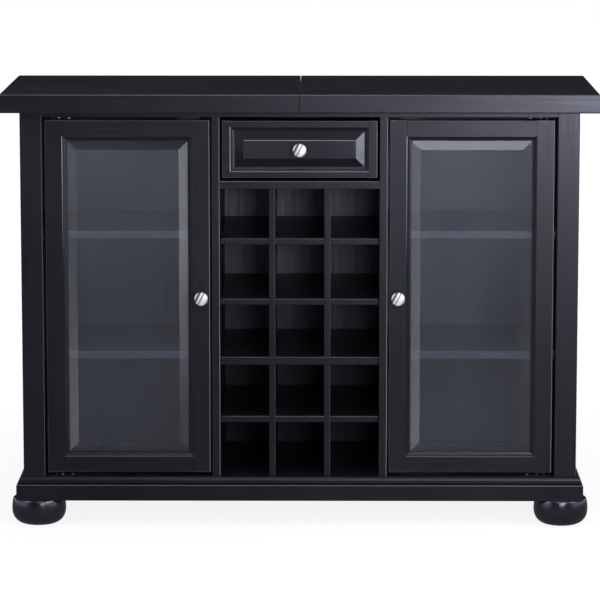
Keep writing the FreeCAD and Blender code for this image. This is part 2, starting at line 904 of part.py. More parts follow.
def bevelled_plate(x0, x1, z0, z1, y_front, y_back, bevel, drop):
    """A plate whose front edges slope back all round."""
    y_edge = y_front + drop
    core = box(x0, x1, y_edge, y_back, z0, z1)
    outer = [V(x0, y_edge, z0), V(x1, y_edge, z0), V(x1, y_edge, z1), V(x0, y_edge, z1)]
    inner = [V(x0 + bevel, y_front, z0 + bevel), V(x1 - bevel, y_front, z0 + bevel),
             V(x1 - bevel, y_front, z1 - bevel), V(x0 + bevel, y_front, z1 - bevel)]
    faces = [outline(outer), outline(inner)]
    for number, corner in enumerate(outer):
        after = (number + 1) % len(outer)
        faces.append(outline([corner, outer[after], inner[after], inner[number]]))
    slope = Part.makeSolid(Part.makeShell(faces))
    if slope.Volume < 0:
        slope.reverse()
    return core.fuse(slope).removeSplitter()


# Doors, made on the right-hand side

def door_glass():
    """The bevelled pane of a door."""
    inset_x = stile_width - rabbet_lap + glass_edge_gap
    inset_z = rail_width - rabbet_lap + glass_edge_gap
    y0 = face_y + rabbet_depth
    return bevelled_plate(door_x0 + inset_x, door_x1 - inset_x, door_z0 + inset_z, door_z1 - inset_z,
                          y0, y0 + glass_thickness, glass_bevel, glass_bevel_drop)


def glass_stops():
    """The four strips that hold the pane from behind."""
    y0 = face_y + rabbet_depth + glass_thickness
    x0 = door_x0 + stile_width - rabbet_lap
    x1 = door_x1 - stile_width + rabbet_lap
    z0 = door_z0 + rail_width - rabbet_lap
    z1 = door_z1 - rail_width + rabbet_lap
    return [box(x0, x0 + rabbet_lap, y0, door_back, z0, z1),
            box(x1 - rabbet_lap, x1, y0, door_back, z0, z1),
            box(x0 + rabbet_lap, x1 - rabbet_lap, y0, door_back, z0, z0 + rabbet_lap),
            box(x0 + rabbet_lap, x1 - rabbet_lap, y0, door_back, z1 - rabbet_lap, z1)]


def knob_shape():
    """A mushroom knob standing on the xy plane, and bored for its screw."""
    base = knob_base_diameter / 2
    neck = knob_neck_diameter / 2
    head = knob_diameter / 2
    low = knob_height - knob_head_height
    waist = (knob_base_height + low) / 2
    flat = head - knob_rim
    top = knob_height - knob_crown
    points = [V(0, 0, 0), V(base, 0, 0), V(base, 0, knob_base_height / 2),
              [V(neck, 0, knob_base_height / 2), V(neck, 0, waist)],
              [V(neck, 0, low), V(head, 0, low), V(head, 0, low + knob_rim)],
              V(head, 0, top - knob_rim),
              [V(head, 0, top - knob_rim / 2), V(flat + knob_rim / 2, 0, top), V(flat, 0, top)],
              [V(flat / 2, 0, knob_height), V(0, 0, knob_height)]]
    bore = rod(V(0, 0, 0), UP, knob_screw_diameter + 2 * hole_clearance, knob_screw_grip + hole_clearance)
    return turned(points).cut(bore)


def knob_with_screw(x, y, z, grip):
    """A knob on a front face and the screw that holds it from behind."""
    knob = placed(knob_shape(), V(x, y, z), RIGHT, UP, FORWARD)
    screw = panhead(V(x, y + grip, z), FORWARD, knob_screw_diameter, knob_screw_head_diameter,
                    knob_screw_head_height, grip + knob_screw_grip)
    return [knob, screw]


def knob_hole(x, y, z, grip):
    """The hole for a knob's screw."""
    return rod(V(x, y + grip + cut_overrun, z), FORWARD, knob_screw_diameter + 2 * hole_clearance,
               grip + 2 * cut_overrun)


def door_knob_place():
    """Where a door's knob stands, and the depth that its screw passes through."""
    z = door_z0 + knob_mid_share * (door_z1 - door_z0)
    return door_x0 + stile_flat / 2, face_y, z, door_thickness


def pivot_ends():
    """For the top and the bottom of a door: its end, the case's face and the way from one to the other."""
    return [(door_z1, counter_bottom, 1), (door_z0, floor_top, -1)]


def plate_box(z_face, way):
    """A hinge plate that lies behind the given level."""
    z0, z1 = sorted((z_face, z_face - way * pivot_plate_thickness))
    return box(pivot_x - pivot_plate_in, pivot_x + pivot_plate_out,
               pivot_y - pivot_plate_width / 2, pivot_y + pivot_plate_width / 2, z0, z1)


def pivot_plates():
    """The case's pivot plates with their pins, above and below the right-hand door."""
    plates = []
    for door_end, case_face, way in pivot_ends():
        plate = plate_box(case_face, way)
        reach = abs(case_face - door_end) + pivot_pin_reach
        pin = rod(V(pivot_x, pivot_y, case_face), UP * -way, pivot_pin_diameter, reach)
        plate = plate.fuse(pin).removeSplitter()
        plates.append(plate.cut(group(plate_screw_holes())))
    return plates


def plate_screw_places():
    """The screws of the case's pivot plates: foot and direction."""
    places = []
    for _, case_face, way in pivot_ends():
        z = case_face - way * pivot_plate_thickness
        for number in range(2):
            x = pivot_x - plate_screw_first - number * plate_screw_pitch
            for hand in (-1, 1):
                places.append((V(hand * x, pivot_y, z), UP * way))
    return places


def plate_screws():
    """The screws that hold the case's pivot plates."""
    return [panhead(point, direction, small_screw_diameter, small_screw_head_diameter,
                    small_screw_head_height, small_screw_length) for point, direction in plate_screw_places()]


def plate_screw_holes():
    """Holes for the pivot plates' screws."""
    return [rod(point - direction * hole_clearance, direction, small_screw_diameter + 2 * hole_clearance,
                small_screw_length + 2 * hole_clearance) for point, direction in plate_screw_places()]


def door_plate_screws(extra):
    """The countersunk screws of a door's own plates, or their holes."""
    screws = []
    for door_end, _, way in pivot_ends():
        for number in range(2):
            x = pivot_x - plate_screw_first - number * plate_screw_pitch
            screws.append(countersunk(V(x, pivot_y, door_end), UP * -way, small_screw_diameter + 2 * extra,
                                      small_screw_head_diameter + 2 * extra, small_screw_head_height,
                                      small_screw_length + extra))
    return screws


def door_hardware():
    """A door's socket plates, flanged bushes, their screws and the strike of its catch."""
    pieces = []
    for door_end, case_face, way in pivot_ends():
        socket = rod(V(pivot_x, pivot_y, door_end + way * cut_overrun), UP * -way,
                     bush_diameter + 2 * glue_gap, pivot_plate_thickness + 2 * cut_overrun)
        plate = plate_box(door_end, way).cut(group([socket] + door_plate_screws(hole_clearance)))
        flange = abs(case_face - door_end) - pivot_plate_thickness - bush_seat_gap
        bush = rod(V(pivot_x, pivot_y, door_end), UP * way, bush_flange_diameter, flange)
        bush = bush.fuse(rod(V(pivot_x, pivot_y, door_end), UP * -way, bush_diameter, bush_depth))
        bore = rod(V(pivot_x, pivot_y, door_end + way * (flange + cut_overrun)), UP * -way,
                   pivot_pin_diameter + 2 * pivot_bore_clearance, flange + bush_depth + 2 * cut_overrun)
        pieces += [plate, bush.cut(bore)]
    pieces += door_plate_screws(0)
    top = door_z1 - magnet_edge
    pieces.append(box(catch_x - strike_width / 2, catch_x + strike_width / 2, door_back,
                      door_back + strike_thickness, top - strike_height, top))
    return pieces


def door_cuts():
    """What is cut from a door's frame for its hinges, screws and knob."""
    cuts = [knob_hole(*door_knob_place())] + door_plate_screws(hole_clearance)
    for door_end, _, way in pivot_ends():
        cuts.append(plate_box(door_end, way))
        cuts.append(rod(V(pivot_x, pivot_y, door_end), UP * -way, bush_diameter + 2 * glue_gap,
                        bush_depth + glue_gap))
    return cuts


def door_pieces():
    """The named pieces of the right-hand door."""
    stiles, rails = frame(door_x0, door_x1, door_z0, door_z1, stile_width, rail_width, door_thickness)
    cuts = group(door_cuts())
    return {
        "stiles": [stile.cut(cuts) for stile in stiles],
        "rails": [rail.cut(cuts) for rail in rails],
        "glass": [door_glass()],
        "glass_stops": glass_stops(),
        "knob": knob_with_screw(*door_knob_place()),
        "hardware": door_hardware(),
    }


def catch_front():
    """The front of the door catches, just behind the strike."""
    return door_back + strike_thickness + strike_air_gap


def door_catch():
    """The right-hand catch: a housing under the serving surface and its magnet."""
    y0 = catch_front()
    housing = box(catch_x - catch_width / 2, catch_x + catch_width / 2, y0, y0 + catch_depth,
                  counter_bottom - catch_height, counter_bottom)
    housing = eased_at(housing, arris, z=counter_bottom - catch_height)
    low = counter_bottom - catch_height + magnet_edge
    magnet = box(catch_x - magnet_width / 2, catch_x + magnet_width / 2, y0, y0 + magnet_depth,
                 low, low + magnet_height)
    return [housing.cut(group([magnet] + catch_screw_holes())), magnet]


def catch_screw_places():
    """Where the catches are screwed up into the serving surface."""
    y = catch_front() + (catch_depth + magnet_depth) / 2
    x_out = magnet_width / 2
    return [(hand * (catch_x + way * x_out), y) for hand in (-1, 1) for way in (-1, 1)]


def catch_screws():
    """The screws of the door catches."""
    length = catch_height - small_screw_head_height + board / 2
    return [countersunk(V(x, y, counter_bottom - catch_height), UP, small_screw_diameter,
                        small_screw_head_diameter, small_screw_head_height, length)
            for x, y in catch_screw_places()]


def catch_screw_holes():
    """Holes for the screws of the door catches."""
    length = catch_height - small_screw_head_height + board / 2 + hole_clearance
    return [countersunk(V(x, y, counter_bottom - catch_height), UP, small_screw_diameter + 2 * hole_clearance,
                        small_screw_head_diameter + 2 * hole_clearance, small_screw_head_height, length)
            for x, y in catch_screw_places()]


# Drawer

def drawer_knob_place():
    """Where the drawer's knob stands, and the depth that its screw passes through."""
    y = face_y + panel_field_setback
    return 0, y, drawer_mid_z, drawer_back_of_front + drawer_side_thickness - y


def raised_panel():
    """The drawer's raised panel: a field, a step and a slope all round."""
    inset_x = drawer_stile_width - rabbet_lap + panel_edge_gap
    inset_z = drawer_rail_width - rabbet_lap + panel_edge_gap
    x0, x1 = inset_x - drawer_x, drawer_x - inset_x
    z0, z1 = drawer_z0 + inset_z, drawer_z1 - inset_z
    hidden = rabbet_lap - panel_edge_gap
    slope = panel_bevel + hidden
    step_y = face_y + panel_field_setback + panel_field_step
    tongue_y = face_y + rabbet_depth
    drop = (face_y + panel_edge_depth - step_y) * slope / panel_bevel
    plate = bevelled_plate(x0, x1, z0, z1, step_y, drawer_back_of_front, slope, drop)
    field = box(x0 + slope, x1 - slope, face_y + panel_field_setback, step_y + panel_field_step,
                z0 + slope, z1 - slope)
    field = eased_at(field, panel_arris, y=face_y + panel_field_setback)
    body = plate.fuse(field).removeSplitter()
    rim = box(x0 - cut_overrun, x1 + cut_overrun, face_y, tongue_y, z0 - cut_overrun, z1 + cut_overrun)
    window = box(x0 + hidden, x1 - hidden, face_y - cut_overrun, tongue_y + cut_overrun,
                 z0 + hidden, z1 - hidden)
    return body.cut(rim.cut(window)).cut(knob_hole(*drawer_knob_place()))


def drawer_box():
    """The sides, the inner front, the back and the bottom of the drawer."""
    t = drawer_side_thickness
    y0, y1 = drawer_back_of_front, drawer_box_back
    z0, z1 = drawer_box_z0, drawer_box_z1
    bottom_z = z0 + drawer_bottom_lift
    edge = drawer_box_x - t + drawer_groove
    near = y0 + t - drawer_groove
    far = y1 - t + drawer_groove
    bottom = box(glue_gap - edge, edge - glue_gap, near + glue_gap, far - glue_gap, bottom_z,
                 bottom_z + drawer_bottom_thickness)
    groove = box(-edge, edge, near, far, bottom_z, bottom_z + drawer_bottom_thickness + glue_gap)
    right = box(drawer_box_x - t, drawer_box_x, y0, y1, z0, z1)
    inner_front = box(t - drawer_box_x, drawer_box_x - t, y0, y0 + t, z0, z1)
    back = box(t - drawer_box_x, drawer_box_x - t, y1 - t, y1, z0, z1)
    cuts = group([groove, knob_hole(*drawer_knob_place())])
    boards = [right, mirrored(right), inner_front, back]
    boards = [eased_at(piece, arris, z=z1).cut(cuts) for piece in boards]
    return boards + [bottom]


def drawer_front_frame():
    """The stiles and rails around the drawer's raised panel."""
    stiles, rails = frame(-drawer_x, drawer_x, drawer_z0, drawer_z1, drawer_stile_width,
                          drawer_rail_width, drawer_front_thickness)
    return stiles + rails


# Sliding leaves, made on the right-hand side

def leaf_deck():
    """The flat board of a leaf."""
    x0 = seam_gap / 2
    rounds = [({"y": leaf_front, "z": total_height}, top_arris),
              ({"y": leaf_back, "z": total_height}, top_arris),
              ({"x": leaf_outer, "z": total_height}, top_arris),
              ({"x": x0, "z": total_height}, seam_arris)]
    return nosed(x0, leaf_outer, leaf_front, leaf_back, deck_bottom, total_height, rounds)


def leaf_skirts():
    """The front, outer and back strips under a leaf's edges, mitred at the corners."""
    x0 = seam_gap / 2
    rounds = [({"y": leaf_front, "z": skirt_bottom}, top_arris),
              ({"y": leaf_back, "z": skirt_bottom}, top_arris),
              ({"x": leaf_outer, "z": skirt_bottom}, top_arris)]
    solid = nosed(x0, leaf_outer, leaf_front, leaf_back, skirt_bottom, deck_bottom, rounds)
    hollow = box(x0 - cut_overrun, leaf_outer - skirt_width, leaf_front + skirt_width,
                 leaf_back - skirt_width, skirt_bottom - cut_overrun, deck_bottom + cut_overrun)
    ring = solid.cut(hollow)
    wedge = mitre_prism(V(leaf_outer, leaf_front, 0), V(leaf_outer, leaf_back, 0), -RIGHT, skirt_width,
                        skirt_bottom, deck_bottom)
    return [ring.common(wedge)] + ring.cut(wedge).Solids


def leaf_pieces():
    """The named pieces of the right-hand leaf and of the cages that follow it."""
    cage = cage_length(leaf_slide_length, leaf_travel)
    cage_start = leaf_slide_start + leaf_travel / 2 + cage_end_margin
    return {
        "deck": [leaf_deck()],
        "skirts": leaf_skirts(),
        "runners": leaf_slide_parts([slide_runner(leaf_slide_length)], leaf_slide_start),
        "cages": leaf_slide_parts(slide_cage(cage), cage_start),
    }


# Whole model

def both(solids):
    """Solids and their mirror images."""
    return solids + [mirrored(solid) for solid in solids]


def case_nodes():
    """The nodes of the fixed case."""
    front, right, back = plinth_boards()
    nodes = {
        "bottom_panel": [bottom_panel()],
        "plinth_front": [front],
        "plinth_back": [back],
        "plinth_right": [right],
        "plinth_left": [mirrored(right)],
        "plinth_blocks": [corner_block(x, y) for x, y in foot_places().values()],
        "side_rails": both(side_rails()),
        "top_rails": [top_rail(True), top_rail(False)],
        "sub_top": [sub_top()],
        "back_panel": [back_panel()],
        "drawer_shelf": [cross_board(drawer_shelf_bottom, drawer_shelf_top, front_y)],
        "rack_shelf": [cross_board(rack_shelf_bottom, rack_shelf_top, front_y + rack_setback)],
        "rack_uprights": rack_uprights(),
        "rack_boards": rack_boards(),
        "shelf_pins": both(shelf_pins()),
        "pivot_plates": both(pivot_plates()),
        "door_catches": both(door_catch()),
        "leaf_tracks": both(leaf_slide_parts([slide_track(leaf_slide_length)], leaf_slide_start)),
        "drawer_tracks": drawer_slide_parts([slide_track(drawer_slide_length)], drawer_slide_y),
    }
    for name, place in foot_places().items():
        nodes[name] = [foot(*place)]
    paired = {"post_front": [post(True)], "post_back": [post(False)], "side_panel": [side_panel()],
              "partition": [partition()], "shelves": shelves()}
    for name, solids in paired.items():
        nodes[name + "_right"] = solids
        nodes[name + "_left"] = [mirrored(solid) for solid in solids]
    bolts = [foot_bolt(x, y) for x, y in foot_places().values()]
    screws = base_screws() + back_screws() + plate_screws() + catch_screws()
    nodes["case_fasteners"] = bolts + dowels() + screws
    return nodes


def moving_nodes():
    """The nodes of the doors, the drawer and the sliding leaves."""
    nodes = {}
    for start, pieces in (("door_", door_pieces()), ("leaf_", leaf_pieces())):
        for name, solids in pieces.items():
            nodes[start + "right_" + name] = solids
            nodes[start + "left_" + name] = [mirrored(solid) for solid in solids]
    cage = cage_length(drawer_slide_length, drawer_travel)
    cage_start = drawer_slide_y - drawer_travel / 2 + drawer_slide_length - cage_end_margin - cage
    nodes["drawer_front_frame"] = drawer_front_frame()
    nodes["drawer_raised_panel"] = [raised_panel()]
    nodes["drawer_box"] = drawer_box()
    nodes["drawer_knob"] = knob_with_screw(*drawer_knob_place())
    nodes["drawer_runners"] = drawer_slide_parts([slide_runner(drawer_slide_length)], drawer_slide_y)
    nodes["drawer_cages"] = drawer_slide_parts(slide_cage(cage), cage_start)
    return nodes


def main():
    """Write one file for each node."""
    os.makedirs("parts", exist_ok=True)
    nodes = {**case_nodes(), **moving_nodes()}
    for name, solids in sorted(nodes.items()):
        shape = solids[0] if len(solids) == 1 else group(solids)
        shape.exportStep(os.path.join("parts", name + ".step"))
        print(name, len(shape.Solids), round(shape.Volume))
    print(len(nodes), "nodes")


main()
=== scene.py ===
import math

import bpy
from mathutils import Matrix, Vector


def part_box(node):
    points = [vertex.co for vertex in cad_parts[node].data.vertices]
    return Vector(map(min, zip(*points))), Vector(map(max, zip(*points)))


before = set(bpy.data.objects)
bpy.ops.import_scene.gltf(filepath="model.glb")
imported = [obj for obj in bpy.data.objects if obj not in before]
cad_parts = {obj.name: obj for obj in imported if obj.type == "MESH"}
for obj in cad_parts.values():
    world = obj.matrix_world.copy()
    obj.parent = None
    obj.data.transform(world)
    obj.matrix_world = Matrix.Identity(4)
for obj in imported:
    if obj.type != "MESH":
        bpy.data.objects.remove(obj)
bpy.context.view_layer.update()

# Camera, at the photograph's viewing angle
IMAGE_SIDE = 600
CAMERA_PLACE = (0.045, -7.0, 1.519)
CAMERA_PITCH = math.radians(8.747)
CAMERA_YAW = 0.0065
CAMERA_CLIP = 60.0
FOCAL_PIXELS = 3356.0
SENSOR = 36.0

# World: levels, where 1 is white, and between which parts of a unit direction one turns into the next
WHITE = (1, 1, 1, 1)
WORLD_DIFFUSE = 0.4
WORLD_LOW = 0.02
WORLD_HIGH = 0.05
WORLD_SIDE = 1.0
WORLD_TINT = (0.91, 0.93, 1.10, 1)
TO_REAR = (-0.1, 0.1)
TO_HIGH = (0.35, 0.6)
TO_SIDE_IN_FRONT = (0.6, 0.85)
TO_SIDE_BEHIND = (0.4, 0.6)

# Floor: its levels in gloss, where the camera sees it near the cabinet, and through glass near and far,
# the share of it that the lamps light, and how far from the middle it turns from near to far
FLOOR_HALF = 14.0
FLOOR_PAINT = ((0.72, 0.72, 0.72, 1), (0.78, 0.78, 0.78, 1))
FLOOR_ROUGH = 0.8
FLOOR_SPECULAR = 0.1
FLOOR_GLOSS = 0.15
FLOOR_OWN = 0.88
FLOOR_LIT = 0.25
# Seen through glass, the floor near the cabinet is darker: painted shade
FLOOR_THROUGH = (0.6, 1.0)
OWN_REACH = (0.8, 2.4)
THROUGH_REACH = (0.7, 5.0)

# Softboxes: name, azimuth from the front, elevation, distance, side, light at the cabinet
LAMP_TARGET = (0, -0.2, 0.5)
LAMPS = (("front", 0, 36, 3.2, 0.9, 0.3),
         ("key_far", 12, 8, 3.2, 0.9, 0.43),
         ("key_near", 30, 15, 1.7, 0.5, 0.74),
         ("low", 28.0, 2.0, 2.04, 0.18, 0.07),
         ("right", 60, 25, 3.2, 1.0, 0.5),
         ("left", -60, 25, 3.2, 1.0, 0.4),
         ("above", 0, 70, 3.0, 1.2, 0.3))

# Grains: their scales along and across an axis, detail, roughness and distortion
PORES = ((6.0, 420.0), 4.0, 0.6, 0.2)
FIGURE = ((1.2, 26.0), 3.0, 0.55, 0.6)
BRUSHING = ((5.0, 150.0), 3.0, 0.6, 0.3)
BOARD_PORES = ((7.0, 260.0), 5.0, 0.65, 0.3)
BOARD_FIGURE = ((2.0, 34.0), 4.0, 0.6, 1.2)
GLASS_SMEARS = ((5.0, 14.0), 4.0, 0.6, 0.5)
GLASS_LINES = ((12.0, 900.0), 2.0, 0.5, 0.0)
METAL_LINES = ((20.0, 2500.0), 3.0, 0.6, 0.0)

# Even noises: scale, detail and roughness. Most of any noise lies between the usual levels.
RIPPLE = (90.0, 2.0, 0.5)
CLOUD = (3.5, 2.0, 0.5)
GLASS_WAVES = (2.2, 1.0, 0.5)
METAL_CLOUD = (60.0, 2.0, 0.5)
PLASTIC_SPECKLE = (900.0, 3.0, 0.6)
FLOOR_CLOUD = (1.5, 3.0, 0.5)
NOISE_LEVELS = (0.3, 0.7)
TONE_LEVELS = (0.35, 0.65)

# Depths of the textures' relief
PORE_DEPTH = 0.00003
RIPPLE_DEPTH = 0.00002
BOARD_DEPTH = 0.00012
WAVE_DEPTH = 0.0002
LINE_DEPTH = 0.000006
SPECKLE_DEPTH = 0.00004

# Lacquer: pairs of colours between which its figure varies, shares in the figure, and shifts of its roughness
LACQUER = ((0.0060, 0.0057, 0.0082, 1), (0.0100, 0.0094, 0.0132, 1))
# A lighter copy of the lacquer for the drawer's raised panel: painted light
LACQUER_PANEL_PAINTED_LIGHT = ((0.024, 0.0235, 0.0300, 1), (0.030, 0.029, 0.0370, 1))
# A darker copy of the lacquer for the top's leaves: painted shade
LACQUER_LEAF_PAINTED_SHADE = ((0.0030, 0.0028, 0.0042, 1), (0.0056, 0.0053, 0.0076, 1))
# A lighter copy of the lacquer for the shelves behind the glass: painted light
LACQUER_SHELF_PAINTED_LIGHT = ((0.040, 0.0395, 0.047, 1), (0.052, 0.051, 0.060, 1))
# Colour of the raised panel's upper slopes: painted light
LACQUER_SLOPE_PAINTED_LIGHT = (0.0190, 0.0183, 0.0245, 1)
LACQUER_TINT = (0.79, 0.805, 1.0, 1)
# Pale grey of the arrises and rims: wear and painted highlight
LACQUER_WEAR_AND_HIGHLIGHT = (0.42, 0.415, 0.46, 1)
BRUSHED_SHARE = 0.5
CLOUD_SHARE = 0.4
CLOUD_ROUGH = (-0.03, 0.04)
PORE_ROUGH = (-0.02, 0.03)
BRUSHED_ROUGH = 0.13
WEAR_AND_HIGHLIGHT_BY_FIGURE = (0.3, 0.6, 0.65, 1.0)
FACING_UP = (0.9, 0.99)

# Arrises, with wear and a painted highlight: the largest part of the normal where they start and are full,
# and more painted highlight to the right and above
ARRIS = (0.93, 0.86)
ARRIS_HIGHLIGHT_LEAN = (-0.2, 0.6, 0.05, 0.32)

# Rims, which are lines of wear and painted highlight along a rectangle, brightest on the sides that face the
# lamps: weights on its left, right, lower and upper side
RIM_WIDTH = 0.0022
RIM_DEPTH = 0.002
RIM_FULL = 0.6
EDGE = 0.0005
RIM_PANEL = (0.03, 0.1, 0.03, 0.65)
RIM_PARTITION = (0.02, 0.42, 0.0, 0.0)
RIM_SHELF = (0.0, 0.0, 0.0, 0.2)
RIM_FRONT = (0.08, 0.42, 0.1, 0.2)
RIM_DOOR = (0.9, 0.06, 0.2, 0.06)
RIM_DRAWER = (0.9, 0.06, 0.5, 0.06)
DOOR_FADE = 0.4

# Widths of the stiles and rails up to their moulding, and of the slopes round the drawer's raised field
DOOR_FRAME = (0.035, 0.033)
DRAWER_FRAME = (0.017, 0.013)
PANEL_SLOPES = 0.0245
FIELD_EDGE = (-0.0005, 0.0005)
# Where the slopes turn from the dark lacquer below to the painted light above
SLOPE_TURN = (-0.02, 0.02)

# Back board: painted light in the rack, more with height and to the left, over a stain that is itself
# lightened
BOARD_STAIN_AND_PAINTED_LIGHT = ((0.055, 0.0545, 0.064, 1), (0.075, 0.074, 0.087, 1))
BOARD_ROUGH = (0.4, 0.5)
BOARD_FRONT = (-0.4, -0.6)
RACK_HALF = (0.175, 0.165)
PAINTED_LIGHT_BY_HEIGHT = (0.22, 0.62, 0.4, 4.0)
PAINTED_LIGHT_ACROSS = (-0.1, 0.12, 1.7, 1.0)
BOARD_WITHOUT_PAINTED_LIGHT = 0.6
BOARD_STREAKS = (0.7, 1.3)

# Glass, with the roughness of its smears
GLASS_IOR = 1.5
GLASS_TINT = (0.82, 0.85, 0.92, 1)
GLASS_SPECULAR = (0.92, 0.94, 1.0, 1)
GLASS_ROUGH = (0.35, 0.75, 0.004, 0.03)

# Haze and painted reflection on the glass: a veil that grows with height, left off the upper bevels, and side
# bevels with painted reflection
FILM_AND_REFLECTION_TINT = (0.79, 0.80, 0.90, 1)
FILM_AND_REFLECTION_BY_HEIGHT = (0.45, 0.78, 0.017, 0.038)
FILM_SMEARS = (0.85, 1.15)
FILM_LEAN = (0.05, 0.03)
BEVEL_TINT = (0.78, 0.80, 0.83, 1)
BEVEL_LEAN = (0.03, 0.05)
BEVEL_LEAN_MOST = (0.3, 0.2)
BEVEL_LINES = (0.8, 1.2)

# Haze and painted reflection of the side bevels: shares of the way across the doors and its level there, low
# down and high up
HAZE_AND_REFLECTION_ACROSS = (-0.5, 0.5)
HAZE_AND_REFLECTION_HEIGHT = (0.24, 0.58)
HAZE_AND_REFLECTION_BELOW = ((0.04, 0.09), (0.16, 0.09), (0.24, 0.02), (0.28, 0.02), (0.70, 0.1), (0.78, 0.1), (0.9, 0.01))
HAZE_AND_REFLECTION_ABOVE = ((0.04, 0.025), (0.16, 0.025), (0.24, 0.135), (0.28, 0.135), (0.70, 0.05), (0.78, 0.05),
              (0.9, 0.005))

# Metals, and the bright bushes of the doors' upper pivots, with the place of the right-hand pivot
ZINC = (0.62, 0.63, 0.64, 1)
BLACK_ZINC = (0.025, 0.025, 0.028, 1)
# Pivot plates and door hardware made near black as painted shade in the door gaps; the bushes keep a bright
# metal colour
PLATES_PAINTED_SHADE = (0.03, 0.03, 0.035, 1)
METAL_ROUGH = (-0.06, 0.08)
METAL_DARKER = 0.8
BUSH_BRIGHT = (0.75, 0.75, 0.76, 1)
BUSH_RADIUS = 0.0035
BUSH_EDGE = 0.0005
BUSH_HEIGHT = (0.4, 0.5)
PIVOT = (0.5033, -0.1875, 0)

# Knobs: their centres, and the streaks of painted reflection across the face, each at a share of the diameter
# with its level
KNOBS = {"door_left_knob": (-0.2015, 0, 0.4772), "door_right_knob": (0.2015, 0, 0.4772),
         "drawer_knob": (0, 0, 0.78265)}
KNOB_RADIUS = 0.01375
KNOB_METALLIC = 0.6
KNOB_TINT = (1.0, 0.985, 0.975)
KNOB_ROUGH = (0.42, 0.52)
KNOB_LINES = ((2600.0, 300.0, 60.0), 3.0, 0.6)
KNOB_WARP = (0.0, 1.0, -0.0004, 0.0004)
PAINTED_STREAK_ANGLE = math.radians(-28)
PAINTED_REFLECTION_STREAKS = ((0.0, 0.9), (0.08, 0.95), (0.15, 0.16), (0.25, 0.10), (0.32, 0.95), (0.42, 1.0), (0.46, 0.28),
           (0.52, 0.3), (0.57, 1.0), (0.84, 1.0), (0.91, 0.5), (1.0, 0.9))

# Plastic of the catches
PLASTIC = (0.02, 0.019, 0.018, 1)
PLASTIC_DARKER = 0.7
PLASTIC_ROUGH = 0.55

# Nodes by their finish. make_materials also names those with a finish of their own, and all others are in
# lacquer with an upright grain.
RUN_X = ("plinth_front", "plinth_back", "plinth_blocks", "top_rails", "sub_top", "rack_shelf", "rack_boards")
RUN_Y = ("plinth_left", "plinth_right", "side_rails", "drawer_box")
FEET = ("foot_front_left", "foot_front_right", "foot_back_left", "foot_back_right")
LEAVES = ("leaf_left_skirts", "leaf_right_skirts", "leaf_left_deck", "leaf_right_deck")
SHELVES = ("shelves_left", "shelves_right")
PANES = ("door_left_glass", "door_right_glass")
PLATES = ("pivot_plates", "door_left_hardware", "door_right_hardware")
DRAWER_SLIDES = ("drawer_tracks", "drawer_runners", "drawer_cages")
ZINC_PARTS = ("leaf_tracks", "leaf_left_runners", "leaf_right_runners", "leaf_left_cages", "leaf_right_cages",
              "shelf_pins", "case_fasteners")


